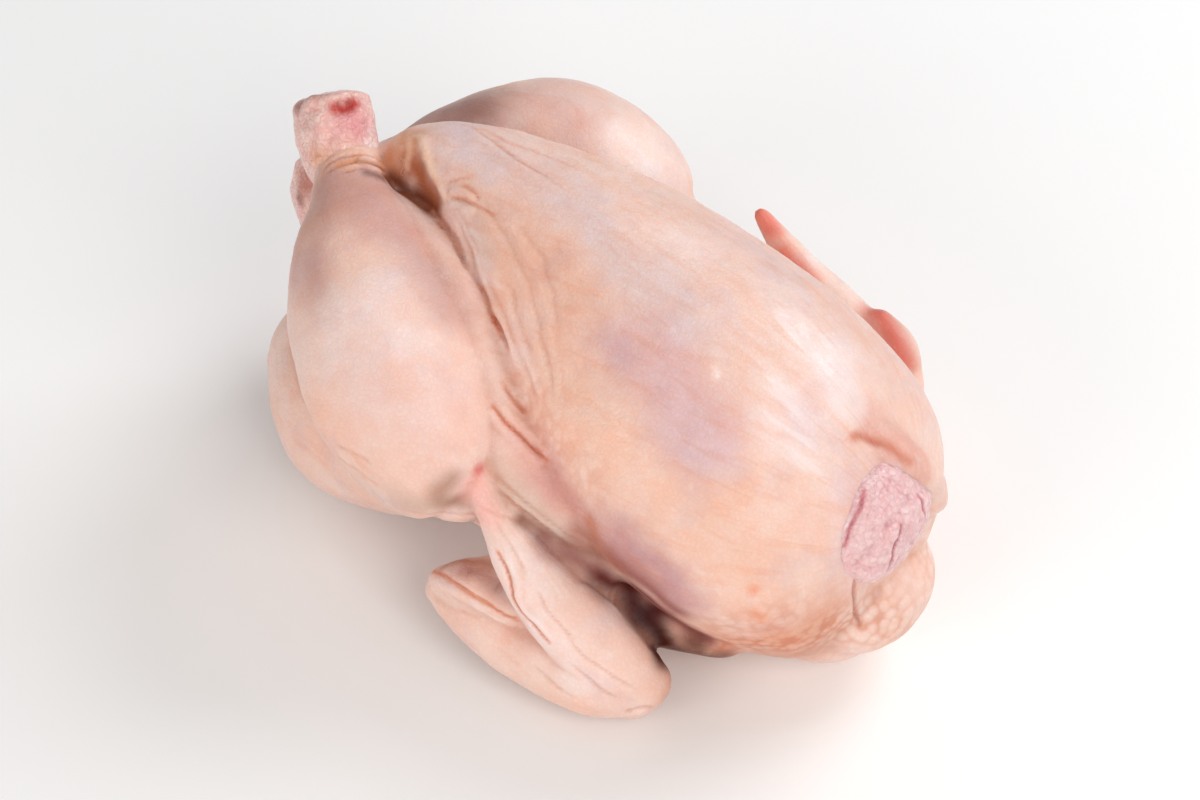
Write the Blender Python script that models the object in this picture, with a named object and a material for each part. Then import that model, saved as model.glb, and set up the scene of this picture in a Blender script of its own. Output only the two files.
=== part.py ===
"""A raw whole chicken, plucked and ready to cook, lying on its back with its legs crossed.

Sizes are in millimetres until MM turns them into metres. +X points to the neck, +Y to the bird's
far side and +Z up, out of the breast. The origin lies under the middle of the body, on the flat
patch of the back that the bird rests on.
"""

import math

import bmesh
import bpy
import numpy as np
from mathutils import Matrix, Vector

MM = 0.001

# How the forms are drawn and fused
RING_POINTS = 48
SPAN_STEPS = 6
VOXEL = 1.6
BLEND_STEPS = 9
TRIANGLES = 10400
FLAT_AT = 2.2

# Raw skin
SKIN_COLOUR = (0.86, 0.62, 0.53, 1.0)
SKIN_ROUGHNESS = 0.38

# Breast: x, y of the keel, half width, height of the widest line, top, bottom, and how full the
# section is, from 1, an ellipse, towards 0, a box
BREAST = [
    (-86, 0, 7, 92, 104, 80, 0.8),
    (-82, 1, 10.5, 91, 110, 66, 0.75),
    (-75, 2, 13.5, 89, 115, 58, 0.75),
    (-62, 4, 17, 86, 119, 50, 0.75),
    (-38, 4, 31, 76, 121, 30, 0.85),
    (-12, 3, 45, 70, 120, 12, 0.95),
    (14, -0.5, 52, 66, 118, 4, 1),
    (40, -3, 55, 62, 114, 1, 1),
    (62, -4.5, 53.5, 59, 107, 1, 1),
    (80, -4, 48, 57, 96, 4, 1),
    (92, -2.5, 38.5, 54, 83, 10, 1),
    (99, 0, 24, 51, 68, 30, 1),
]
UNDERCUT = 0.3
# The way across each flat hand
NEAR_HAND_WIDE = (0.6, 0.45, 0.6)
FAR_HAND_WIDE = (1, 0, 1)

# Limbs: x, y, z, half width and half depth, from the body outwards
BACK = [
    (-98, 0, 30, 12, 9),
    (-84, 0, 32, 28, 24),
    (-62, 0, 36, 38, 33),
    (-30, 0, 38, 42, 36.5),
    (5, 0, 36, 43, 36.5),
    (40, 0, 34, 42, 34.5),
    (72, 0, 34, 34, 27),
]
NECK_SKIN = [
    (70, 0, 26, 32, 23),
    (86, 0, 27, 29, 20),
    (92, 0, 29, 23, 16),
]
NECK = [
    (70, -1, 65, 25, 21),
    (90, -1, 65, 25, 21),
    (95, -1.5, 65, 23.5, 19.5),
    (100, -2, 64, 19, 15.5),
]
TAIL = [
    (-88, 0, 28, 17, 12),
    (-101, 0, 31, 14, 9),
    (-111, 0, 37, 9, 6.5),
    (-117, 0, 42, 5, 4),
]
NEAR_THIGH = [
    (-82, -30, 38, 24, 23),
    (-70, -39, 34, 28, 24),
    (-52, -39, 38, 27, 25),
    (-32, -39, 46, 24, 23),
    (-16, -43, 55, 20, 19),
]
NEAR_DRUMSTICK = [
    (-12, -56, 66, 20, 18),
    (-20, -59, 72, 25.5, 24),
    (-37, -54, 81, 28.5, 27),
    (-54, -44, 89, 26.5, 25),
    (-68, -33, 96, 20.5, 20),
    (-80, -21.5, 99, 14, 13),
    (-90, -11, 101, 10.5, 10.5),
]
NEAR_HOCK = [
    (-85, -17.5, 97, 8, 8),
    (-93, -11, 102, 11.5, 11),
    (-99, -6, 107, 12.5, 12),
    (-104, -1.5, 112, 12, 11.5),
]
FAR_THIGH = [
    (-82, 30, 38, 24, 23),
    (-74, 40, 36, 27, 24),
    (-60, 42, 41, 28, 26),
    (-44, 44, 48, 25, 24),
    (-32, 47, 56, 21, 20),
]
FAR_DRUMSTICK = [
    (-30, 53, 60, 20, 19),
    (-40, 54, 66, 26, 25),
    (-56, 48, 73, 29, 28),
    (-70, 37, 77, 26, 25),
    (-80, 24, 80, 19, 19),
    (-88, 12, 82, 13, 13),
    (-94, 3, 83, 10.5, 10.5),
]
FAR_HOCK = [
    (-89, 9, 82, 8, 8),
    (-95, 0, 83, 12, 11.5),
    (-99, -9, 85, 13, 12),
    (-102, -16, 87, 12.5, 11.5),
]
LEG_SKIN = [
    (-88, -18, 70, 15, 14),
    (-76, -34, 66, 19, 17),
    (-58, -46, 62, 21, 17),
    (-36, -51, 60, 20, 16),
]
NEAR_LEG_WEB = [
    (-67, -18.5, 98, 9, 9),
    (-56, -21.5, 98, 9.5, 9.5),
    (-46, -25.5, 96.5, 10.5, 10.5),
    (-36, -31, 94.5, 11.5, 11.5),
    (-26, -38, 89, 12, 12),
    (-14, -45, 82, 12, 12),
    (0, -50, 73, 12, 12),
    (14, -51, 65, 11, 11),
    (28, -48, 57, 11, 11),
]
FLANK = [
    (-16, -50, 58, 17, 15),
    (8, -48, 56, 17, 15),
    (30, -44, 50, 17, 16),
]
UPPER_WING = [
    (62, -34, 32, 15, 14),
    (40, -46, 31, 13, 13),
    (18, -60, 32, 12, 12),
    (-1, -69, 30, 8, 8),
    (-9, -71, 27, 5.5, 5.5),
]
FOREARM = [
    (-12, -72, 23, 3.5, 3.5),
    (-6, -72, 21.5, 5.5, 5.5),
    (1, -72, 21, 7, 7),
    (10, -72, 20, 8, 8),
    (18, -71, 18, 9, 9),
    (30, -69, 17.5, 10.5, 10.5),
    (44, -66, 18, 11.5, 11),
    (53, -62, 16, 9.5, 8.5),
]
HAND = [
    (54, -62, 18, 11, 8.5),
    (47, -64, 26, 12.5, 8.5),
    (38, -67, 35.5, 12.5, 8),
    (28, -68, 43, 11, 7),
    (17, -67, 52, 8.7, 6),
    (9, -66, 61, 6.3, 5),
    (3, -65, 68.5, 4.8, 4),
    (-0.5, -63, 75.5, 2.8, 2.6),
]
FAR_HAND = [
    (60, 59, 18, 11, 8.5),
    (57, 63, 31, 12.5, 8.5),
    (48, 66, 42.5, 12.5, 8),
    (35, 67, 50.5, 11.3, 7),
    (23, 67, 58, 9, 6),
    (13, 65, 71, 5, 4),
    (6, 63.5, 80.5, 2.4, 2.2),
]
CUFF = [
    (-80, -22, 96, 13, 12.5),
    (-85, -17, 99, 12.5, 12),
]
THUMB = [
    (48, -60, 32.5, 5.5, 5),
    (41, -60, 38.5, 4.5, 4),
    (35, -60, 41, 3, 3),
]

FAR_THUMB = [
    (60, 62, 41, 8, 7),
    (54, 66, 49.5, 8.5, 7.5),
    (47, 67.5, 55.5, 6, 5),
]

# Folds: height of the fold, or the depth of a crease below zero, its half width, and its path
FOLDS = [
    (-3, 2.6, [(-84, -7, 104), (-76, -12, 103), (-69, -12.5, 101), (-61, -13, 101), (-54, -14, 102)]),
    (-1.2, 2.4, [(-48, -17, 103), (-38, -21, 102), (-30, -26, 101), (-21, -32, 97)]),
    (-3, 3, [(-80, 15, 94), (-70, 20, 94), (-58, 25, 93), (-46, 31, 93), (-34, 38, 88)]),
    (-5, 3, [(88, 1, 86), (92, 5, 80), (96, 10, 72), (99, 16, 62), (97, 20, 46)]),
    (2.5, 4, [(88, 5, 90), (93, 10, 84), (97, 16, 75), (99, 22, 64)]),
    (-3, 2.5, [(99, -14, 56), (101, -15, 45), (101, -15, 34)]),
    (-9, 3.5, [(-96, 0, 80), (-99, 0, 70), (-100, 0, 60), (-99, 0, 48)]),
]


def along(rows, steps):
    """The rows and those between them, on a smooth curve with a number of steps to each span."""
    rows = np.array(rows, float)
    ends = np.vstack([2 * rows[0] - rows[1], rows, 2 * rows[-1] - rows[-2]])
    made = []
    for before, start, end, after in zip(ends, ends[1:], ends[2:], ends[3:]):
        for t in np.arange(steps) / steps:
            made.append(
                0.5
                * (
                    2 * start
                    + (end - before) * t
                    + (2 * before - 5 * start + 4 * end - after) * t**2
                    + (3 * start - before - 3 * end + after) * t**3
                )
            )
    return np.array(made + [rows[-1]])


def tube(mesh, places):
    """A closed tube in mesh: a ring turned into one place after another, and both ends capped."""
    start = bmesh.ops.create_circle(mesh, segments=RING_POINTS, radius=1, matrix=places[0])
    ring = start["verts"]
    edges = list({edge for vert in ring for edge in vert.link_edges})
    mesh.faces.new(ring)
    last = places[0]
    for place in places[1:]:
        grown = bmesh.ops.extrude_edge_only(mesh, edges=edges)["geom"]
        ring = [item for item in grown if isinstance(item, bmesh.types.BMVert)]
        edges = [
            item
            for item in grown
            if isinstance(item, bmesh.types.BMEdge) and all(v in ring for v in item.verts)
        ]
        bmesh.ops.transform(mesh, matrix=place @ last.inverted(), verts=ring)
        last = place
    bmesh.ops.holes_fill(mesh, edges=edges, sides=0)


def limb(mesh, rows, wide, start=1.0, end=1.0):
    """A tube through rows of x, y, z, half width and half depth. wide is the way that half width
    is measured, and start and end say how round its ends are, from 0, cut flat, to 1."""
    rows = along(rows, SPAN_STEPS)
    centres = [Vector(row[:3]) for row in rows]
    ways = [(b - a).normalized() for a, b in zip(centres, centres[1:])]
    ways = [ways[0]] + [(a + b).normalized() for a, b in zip(ways, ways[1:])] + [ways[-1]]
    rings = [(c, w, row[3], row[4]) for c, w, row in zip(centres, ways, rows)]
    for roundness, index, sign in ((start, 0, -1), (end, -1, 1)):
        centre, way, width, depth = rings[index]
        reach = roundness * min(width, depth)
        caps = []
        for angle in (math.radians(a) for a in (25, 50, 72, 86)):
            offset = sign * way * reach * math.sin(angle)
            size = math.cos(angle)
            caps.append((centre + offset, way, width * size, depth * size))
        rings = caps[::-1] + rings if index == 0 else rings + caps
    places = []
    for centre, way, width, depth in rings:
        across = (Vector(wide) - Vector(wide).dot(way) * way).normalized()
        turned = Matrix((across, way.cross(across), way)).transposed().to_4x4()
        sized = Matrix.Diagonal((width, depth, 1, 1))
        places.append(Matrix.Translation(centre) @ turned @ sized)
    tube(mesh, places)


def breast(mesh):
    """The breast, an egg-shaped tube along X that narrows to the tip of the keel."""
    first = len(mesh.verts)
    rows = along(BREAST, SPAN_STEPS)
    places = []
    for row in rows:
        facing = Matrix.Rotation(math.radians(90), 4, "Y")
        places.append(Matrix.Translation((row[0], 0, 0)) @ facing)
    tube(mesh, places)
    mesh.verts.ensure_lookup_table()
    for vert in mesh.verts[first:]:
        x, side, up = vert.co
        keel, half, middle, top, bottom, full = (
            np.interp(x, rows[:, 0], rows[:, k]) for k in range(1, 7)
        )
        reach = (top - middle) if up > 0 else (middle - bottom)
        tuck = 1 + UNDERCUT * min(up, 0)
        wide = math.copysign(abs(side) ** full, side) * half * tuck
        vert.co = (x, keel + wide, middle + math.copysign(abs(up) ** full, up) * reach)


def far_side(rows, forward, inward):
    """The same limb on the bird's other side, which lies a little further forward and inward."""
    return [(row[0] + forward, -row[1] - inward, *row[2:]) for row in rows]


def carcass():
    """All the forms of the bird in one mesh, each closed and overlapping its neighbours."""
    mesh = bmesh.new()
    breast(mesh)
    limb(mesh, BACK, (0, 1, 0))
    limb(mesh, NECK_SKIN, (0, 1, 0))
    limb(mesh, NECK, (0, 1, 0), end=0.4)
    limb(mesh, TAIL, (0, 1, 0))
    limb(mesh, NEAR_THIGH, (0, 0, 1))
    limb(mesh, FAR_THIGH, (0, 0, 1))
    limb(mesh, NEAR_DRUMSTICK, (0, 0, 1))
    limb(mesh, FAR_DRUMSTICK, (0, 0, 1))
    limb(mesh, CUFF, (0, 0, 1), end=0.3)
    limb(mesh, NEAR_HOCK, (0, 0, 1), end=0.3)
    limb(mesh, FAR_HOCK, (0, 0, 1), end=0.3)
    limb(mesh, LEG_SKIN, (0, 0, 1))
    limb(mesh, far_side(LEG_SKIN, 0, 2), (0, 0, 1))
    limb(mesh, NEAR_LEG_WEB, (0, 0, 1))
    limb(mesh, FLANK, (0, 0, 1))
    limb(mesh, far_side(FLANK, 0, 2), (0, 0, 1))
    for rows in (UPPER_WING, FOREARM):
        limb(mesh, rows, (0, 0, 1))
        limb(mesh, far_side(rows, 4, 3), (0, 0, 1))
    for rows in (HAND, THUMB):
        limb(mesh, rows, NEAR_HAND_WIDE)
    for rows in (FAR_HAND, FAR_THUMB):
        limb(mesh, rows, FAR_HAND_WIDE)
    bmesh.ops.recalc_face_normals(mesh, faces=mesh.faces)
    made = bpy.data.meshes.new("forms")
    mesh.to_mesh(made)
    mesh.free()
    return made


def applied(obj):
    """The object's mesh with its modifiers applied, and the modifiers gone."""
    made = bpy.data.meshes.new_from_object(obj.evaluated_get(bpy.context.evaluated_depsgraph_get()))
    obj.modifiers.clear()
    obj.data = made
    return made


def skin():
    """Raw, moist poultry skin."""
    made = bpy.data.materials.new("skin")
    made.use_nodes = True
    shader = made.node_tree.nodes["Principled BSDF"]
    shader.inputs["Base Color"].default_value = SKIN_COLOUR
    shader.inputs["Roughness"].default_value = SKIN_ROUGHNESS
    shader.inputs["Metallic"].default_value = 0.0
    return made


def fuse(obj):
    """Joins the forms into one skin and softens where they meet."""
    join = obj.modifiers.new("join", "REMESH")
    join.mode = "VOXEL"
    join.voxel_size = VOXEL
    soften = obj.modifiers.new("soften", "SMOOTH")
    soften.factor = 0.5
    soften.iterations = BLEND_STEPS
    applied(obj)


def press_folds(points, normals):
    """Raises each fold out of the skin, or presses its crease in, along its path."""
    for height, width, path in FOLDS:
        line = along(path, SPAN_STEPS)
        gaps = np.linalg.norm(points[:, None, :] - line[None, :, :], axis=2).min(axis=1)
        points += normals * (height * np.exp(-((gaps / width) ** 2)))[:, None]


def main():
    for obj in list(bpy.data.objects):
        bpy.data.objects.remove(obj, do_unlink=True)
    bird = bpy.data.objects.new("whole_chicken", carcass())
    bpy.context.scene.collection.objects.link(bird)
    fuse(bird)
    points = np.empty(len(bird.data.vertices) * 3)
    normals = points.copy()
    bird.data.vertices.foreach_get("co", points)
    bird.data.vertex_normals.foreach_get("vector", normals)
    points = points.reshape(-1, 3)
    press_folds(points, normals.reshape(-1, 3))
    points[:, 2] = np.maximum(points[:, 2], FLAT_AT) - FLAT_AT
    bird.data.vertices.foreach_set("co", (points * MM).ravel())
    thin = bird.modifiers.new("thin", "DECIMATE")
    faces = sum(len(face.vertices) - 2 for face in bird.data.polygons)
    thin.ratio = TRIANGLES / faces
    applied(bird)
    bird.data.materials.clear()
    bird.data.materials.append(skin())
    bird.data.shade_smooth()


main()
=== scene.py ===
import math

import bmesh
import bpy
import numpy as np
from mathutils import Matrix, Vector, noise
from mathutils.bvhtree import BVHTree


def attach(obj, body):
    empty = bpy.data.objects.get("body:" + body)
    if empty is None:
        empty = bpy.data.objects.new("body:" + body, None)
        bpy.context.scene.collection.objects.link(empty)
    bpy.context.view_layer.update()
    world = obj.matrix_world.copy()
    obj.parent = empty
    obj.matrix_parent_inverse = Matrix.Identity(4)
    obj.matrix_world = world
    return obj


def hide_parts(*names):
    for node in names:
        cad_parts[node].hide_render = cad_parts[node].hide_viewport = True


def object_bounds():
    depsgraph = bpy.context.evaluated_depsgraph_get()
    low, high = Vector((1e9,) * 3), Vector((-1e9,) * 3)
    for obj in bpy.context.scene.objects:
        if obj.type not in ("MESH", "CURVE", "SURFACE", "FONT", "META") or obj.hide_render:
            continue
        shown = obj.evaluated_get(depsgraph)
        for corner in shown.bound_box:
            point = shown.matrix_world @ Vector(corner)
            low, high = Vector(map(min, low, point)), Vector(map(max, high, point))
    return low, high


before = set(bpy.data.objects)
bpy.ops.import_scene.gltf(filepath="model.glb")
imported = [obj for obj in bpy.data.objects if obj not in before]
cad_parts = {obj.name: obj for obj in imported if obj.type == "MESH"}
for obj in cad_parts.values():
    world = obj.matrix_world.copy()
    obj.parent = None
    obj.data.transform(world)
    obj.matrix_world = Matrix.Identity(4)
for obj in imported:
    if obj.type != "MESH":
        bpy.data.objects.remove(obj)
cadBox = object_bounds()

# All shapes are in millimetres, +X to the neck, +Y to the far side and +Z up out of the breast.
mm = 0.001
print("frame loaded, box", [[round(c, 4) for c in corner] for corner in cadBox])


# Camera

cameraSetup = {
    "azimuth": 37.0,
    "elevation": 47.0,
    "distance": 1.0,
    "target": (0, 0, 0.055),
    "pixelsPerMm": 3.4,  # at the target, in a picture 1200 pixels wide
    "middle": (617, 383),  # where the target falls in that picture
    "picture": (1200, 800),
    "sensor": 36.0,
}


def makeCamera(setup):
    turn = math.radians(setup["azimuth"])
    rise = math.radians(setup["elevation"])
    back = Vector((math.sin(turn) * math.cos(rise), -math.cos(turn) * math.cos(rise), math.sin(rise)))
    wide, tall = setup["picture"]
    data = bpy.data.cameras.new("camera")
    data.sensor_width = setup["sensor"]
    data.lens = setup["pixelsPerMm"] * 1000 * setup["distance"] * setup["sensor"] / wide
    data.shift_x = (wide / 2 - setup["middle"][0]) / wide
    data.shift_y = (setup["middle"][1] - tall / 2) / wide
    data.clip_start = 0.01
    made = bpy.data.objects.new("camera", data)
    bpy.context.scene.collection.objects.link(made)
    made.location = Vector(setup["target"]) + back * setup["distance"]
    made.rotation_euler = (-back).to_track_quat("-Z", "Y").to_euler()
    bpy.context.scene.camera = made


makeCamera(cameraSetup)
print("camera placed")


# Forms of the bird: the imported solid's, with a slimmer neck and a lobe of skin over it

breastShape = {
    # x, y of the keel, half width, height of the widest line, top, bottom, fullness of the section
    "rows": [
        (-86, 0, 7, 92, 104, 80, 0.8), (-82, 1, 10.5, 91, 110, 66, 0.75),
        (-75, 2, 13.5, 89, 115, 58, 0.75), (-62, 4, 17, 86, 119, 50, 0.75),
        (-38, 4, 31, 76, 121, 30, 0.85), (-12, 3, 45, 70, 120, 12, 0.95),
        (14, -0.5, 52, 66, 118, 4, 1), (40, -3, 55, 62, 114, 1, 1), (62, -4.5, 53.5, 59, 107, 1, 1),
        (80, -4, 48, 57, 96, 4, 1), (92, -2.5, 38.5, 54, 83, 10, 1), (99, 0, 24, 51, 68, 30, 1),
    ],
    "undercut": 0.3,
}

# Limbs: x, y, z, half width and half depth, from the body outwards
trunkShape = {
    "back": [
        (-98, 0, 30, 12, 9), (-84, 0, 32, 28, 24), (-62, 0, 36, 38, 33), (-30, 0, 38, 42, 36.5),
        (5, 0, 36, 43, 36.5), (40, 0, 34, 42, 34.5), (72, 0, 34, 34, 27),
    ],
    "neckSkin": [(70, 0, 26, 32, 23), (86, 0, 27, 29, 20), (92, 0, 29, 23, 16)],
    "neck": [
        (70, -4, 64, 22.5, 20.5), (90, -4, 64, 22.5, 20.5), (95, -4.5, 64, 21, 19),
        (100, -4.5, 63, 17, 15),
    ],
    "neckLobe": [
        (76, 5, 85, 5, 5), (88, 6.5, 83.5, 6, 6), (94, 8, 79.5, 6, 6), (99, 13, 70, 5.5, 5.5),
        (98, 19, 56, 5, 5),
    ],
    "tail": [(-88, 0, 28, 17, 12), (-101, 0, 31, 14, 9), (-111, 0, 37, 9, 6.5), (-117, 0, 42, 5, 4)],
}
nearLegShape = {
    "thigh": [
        (-82, -30, 38, 24, 23), (-70, -39, 34, 28, 24), (-52, -39, 38, 27, 25),
        (-32, -39, 46, 24, 23), (-16, -43, 55, 20, 19),
    ],
    "drumstick": [
        (-12, -56, 66, 20, 18), (-20, -59, 72, 25.5, 24), (-37, -54, 81, 28.5, 27),
        (-54, -44, 89, 26.5, 25), (-68, -33, 96, 20.5, 20), (-80, -21.5, 99, 14, 13),
        (-90, -11, 101, 10.5, 10.5),
    ],
    "legSkin": [
        (-88, -18, 70, 15, 14), (-76, -34, 66, 19, 17), (-58, -46, 62, 21, 17),
        (-36, -51, 60, 20, 16),
    ],
    "cuff": [(-80, -22, 96, 13, 12.5), (-85, -17, 99, 12.5, 12)],
    "web": [
        (-67, -18.5, 98, 9, 9), (-56, -21.5, 98, 9.5, 9.5), (-46, -25.5, 96.5, 10.5, 10.5),
        (-36, -31, 94.5, 11.5, 11.5), (-26, -38, 89, 12, 12), (-14, -45, 82, 12, 12),
        (0, -50, 73, 12, 12), (14, -51, 65, 11, 11), (28, -48, 57, 11, 11),
    ],
    "flank": [(-16, -50, 58, 17, 15), (8, -48, 56, 17, 15), (30, -44, 50, 17, 16)],
    "hock": [
        (-85, -17.5, 97, 8, 8), (-93, -11, 102, 11.5, 11), (-99, -6, 107, 12.5, 12),
        (-104, -1.5, 112, 12, 11.5),
    ],
}
farLegShape = {
    "thigh": [
        (-82, 30, 38, 24, 23), (-74, 40, 36, 27, 24), (-60, 42, 41, 28, 26), (-44, 44, 48, 25, 24),
        (-32, 47, 56, 21, 20),
    ],
    "drumstick": [
        (-30, 53, 60, 20, 19), (-40, 54, 66, 26, 25), (-56, 48, 73, 29, 28), (-70, 37, 77, 26, 25),
        (-80, 24, 80, 19, 19), (-88, 12, 82, 13, 13), (-94, 3, 83, 10.5, 10.5),
    ],
    "legSkin": [(-88, 16, 70, 15, 14), (-76, 32, 66, 19, 17), (-58, 44, 62, 21, 17), (-36, 49, 60, 20, 16)],
    "hock": [
        (-89, 9, 82, 8, 8), (-95, 0, 83, 12, 11.5), (-99, -9, 85, 13, 12),
        (-102, -16, 87, 12.5, 11.5),
    ],
}
wingShape = {
    "upper": [
        (62, -34, 32, 15, 14), (40, -46, 31, 13, 13), (18, -60, 32, 12, 12), (-1, -69, 30, 8, 8),
        (-9, -71, 27, 5.5, 5.5),
    ],
    "forearm": [
        (-12, -72, 23, 3.5, 3.5), (-6, -72, 21.5, 5.5, 5.5), (1, -72, 21, 7, 7),
        (10, -72, 20, 8, 8), (18, -71, 18, 9, 9), (30, -69, 17.5, 10.5, 10.5),
        (44, -66, 18, 11.5, 11), (53, -62, 16, 9.5, 8.5),
    ],
    "hand": [
        (54, -62, 18, 11, 8.5), (47, -64, 26, 12.5, 8.5), (38, -67, 35.5, 12.5, 8),
        (28, -68, 43, 11, 7), (17, -67, 52, 8.7, 6), (9, -66, 61, 6.3, 5), (3, -65, 68.5, 4.8, 4),
        (-0.5, -63, 75.5, 2.8, 2.6),
    ],
    "farHand": [
        (60, 59, 18, 11, 8.5), (57, 63, 31, 12.5, 8.5), (48, 66, 42.5, 12.5, 8),
        (35, 67, 50.5, 11.3, 7), (23, 67, 58, 9, 6), (13, 65, 71, 5, 4), (6, 63.5, 80.5, 2.4, 2.2),
    ],
    "thumb": [(48, -60, 32.5, 5.5, 5), (41, -60, 38.5, 4.5, 4), (35, -60, 41, 3, 3)],
    "farThumb": [(60, 62, 41, 8, 7), (54, 66, 49.5, 8.5, 7.5), (47, 67.5, 55.5, 6, 5)],
    "acrossHand": (0.6, 0.45, 0.6),
    "acrossFarHand": (1, 0, 1),
    "farForward": 4,
    "farInward": 3,
}
meshing = {
    "ringPoints": 64,
    "spanSteps": 6,
    "capAngles": (15, 30, 45, 58, 70, 80, 87),
    "voxel": 0.95,
    "softening": 16,
    "flatAt": 2.2,
    "triangles": 190000,
}


def smoothRows(rows):  # the rows and those between them on a smooth curve
    steps = meshing["spanSteps"]
    rows = np.array(rows, float)
    ends = np.vstack([2 * rows[0] - rows[1], rows, 2 * rows[-1] - rows[-2]])
    made = []
    for before, start, end, after in zip(ends, ends[1:], ends[2:], ends[3:]):
        for t in np.arange(steps) / steps:
            bend = (end - before) * t + (2 * before - 5 * start + 4 * end - after) * t**2
            made.append(0.5 * (2 * start + bend + (3 * start - before - 3 * end + after) * t**3))
    return np.array(made + [rows[-1]])


def loftTube(bm, places):
    ring = bmesh.ops.create_circle(bm, segments=meshing["ringPoints"], radius=1, matrix=places[0])["verts"]
    edges = list({edge for vert in ring for edge in vert.link_edges})
    bm.faces.new(ring)
    last = places[0]
    for place in places[1:]:
        grown = bmesh.ops.extrude_edge_only(bm, edges=edges)["geom"]
        ring = [item for item in grown if isinstance(item, bmesh.types.BMVert)]
        known = set(ring)
        edges = [e for e in grown if isinstance(e, bmesh.types.BMEdge) and known.issuperset(e.verts)]
        bmesh.ops.transform(bm, matrix=place @ last.inverted(), verts=ring)
        last = place
    bmesh.ops.holes_fill(bm, edges=edges, sides=0)


def addLimb(bm, rows, wide=(0, 0, 1), start=1.0, end=1.0):
    rows = smoothRows(rows)
    centres = [Vector(row[:3]) for row in rows]
    ways = [(b - a).normalized() for a, b in zip(centres, centres[1:])]
    ways = [ways[0]] + [(a + b).normalized() for a, b in zip(ways, ways[1:])] + [ways[-1]]
    rings = [(c, w, row[3], row[4]) for c, w, row in zip(centres, ways, rows)]
    for roundness, index, sign in ((start, 0, -1), (end, -1, 1)):
        centre, way, width, depth = rings[index]
        reach = roundness * min(width, depth)
        caps = []
        for angle in (math.radians(a) for a in meshing["capAngles"]):
            size = math.cos(angle)
            caps.append((centre + sign * way * reach * math.sin(angle), way, width * size, depth * size))
        rings = caps[::-1] + rings if index == 0 else rings + caps
    places = []
    for centre, way, width, depth in rings:
        across = (Vector(wide) - Vector(wide).dot(way) * way).normalized()
        turned = Matrix((across, way.cross(across), way)).transposed().to_4x4()
        places.append(Matrix.Translation(centre) @ turned @ Matrix.Diagonal((width, depth, 1, 1)))
    loftTube(bm, places)


def addBreast(bm, shape):
    first = len(bm.verts)
    rows = smoothRows(shape["rows"])
    facing = Matrix.Rotation(math.radians(90), 4, "Y")
    loftTube(bm, [Matrix.Translation((row[0], 0, 0)) @ facing for row in rows])
    bm.verts.ensure_lookup_table()
    for vert in bm.verts[first:]:
        x, side, up = vert.co
        keel, half, middle, top, bottom, full = (np.interp(x, rows[:, 0], rows[:, k]) for k in range(1, 7))
        reach = (top - middle) if up > 0 else (middle - bottom)
        tuck = 1 + shape["undercut"] * min(up, 0)
        wide = math.copysign(abs(side) ** full, side) * half * tuck
        vert.co = (x, keel + wide, middle + math.copysign(abs(up) ** full, up) * reach)


def farSide(rows, forward, inward):
    return [(row[0] + forward, -row[1] - inward, *row[2:]) for row in rows]


def formsMesh(name, build):
    bm = bmesh.new()
    build(bm)
    bmesh.ops.recalc_face_normals(bm, faces=bm.faces)
    made = bpy.data.meshes.new(name)
    bm.to_mesh(made)
    bm.free()
    obj = bpy.data.objects.new(name, made)
    bpy.context.scene.collection.objects.link(obj)
    return obj


def buildSkin(bm):
    addBreast(bm, breastShape)
    addLimb(bm, trunkShape["back"], (0, 1, 0))
    addLimb(bm, trunkShape["neckSkin"], (0, 1, 0))
    addLimb(bm, trunkShape["neckLobe"], (0, 1, 0))
    addLimb(bm, trunkShape["tail"], (0, 1, 0))
    for leg in (nearLegShape, farLegShape):
        addLimb(bm, leg["thigh"])
        addLimb(bm, leg["drumstick"])
        addLimb(bm, leg["legSkin"])
    addLimb(bm, nearLegShape["cuff"], end=0.3)
    addLimb(bm, nearLegShape["web"])
    addLimb(bm, nearLegShape["flank"])
    addLimb(bm, farSide(nearLegShape["flank"], 0, 2))
    for part in ("upper", "forearm"):
        addLimb(bm, wingShape[part])
        addLimb(bm, farSide(wingShape[part], wingShape["farForward"], wingShape["farInward"]))
    for part in ("hand", "thumb"):
        addLimb(bm, wingShape[part], wingShape["acrossHand"])
    for part in ("farHand", "farThumb"):
        addLimb(bm, wingShape[part], wingShape["acrossFarHand"])


def applyModifiers(obj):
    made = bpy.data.meshes.new_from_object(obj.evaluated_get(bpy.context.evaluated_depsgraph_get()))
    obj.modifiers.clear()
    obj.data = made


def fuse(obj, voxel, softening):
    join = obj.modifiers.new("join", "REMESH")
    join.mode = "VOXEL"
    join.voxel_size = voxel
    soften = obj.modifiers.new("soften", "SMOOTH")
    soften.factor = 0.5
    soften.iterations = softening
    applyModifiers(obj)
    points = readPoints(obj)
    points[:, 2] -= meshing["flatAt"]
    writePoints(obj, points)


def readPoints(obj):
    points = np.empty(len(obj.data.vertices) * 3)
    obj.data.vertices.foreach_get("co", points)
    return points.reshape(-1, 3)


def readNormals(obj):
    normals = np.empty(len(obj.data.vertices) * 3)
    obj.data.vertex_normals.foreach_get("vector", normals)
    return normals.reshape(-1, 3)


def writePoints(obj, points):
    obj.data.vertices.foreach_set("co", points.ravel())
    obj.data.update()


def writePlace(obj, points):  # from mm to metres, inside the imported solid's box
    writePoints(obj, np.clip(points * mm, cadBox[0], cadBox[1]))


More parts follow.
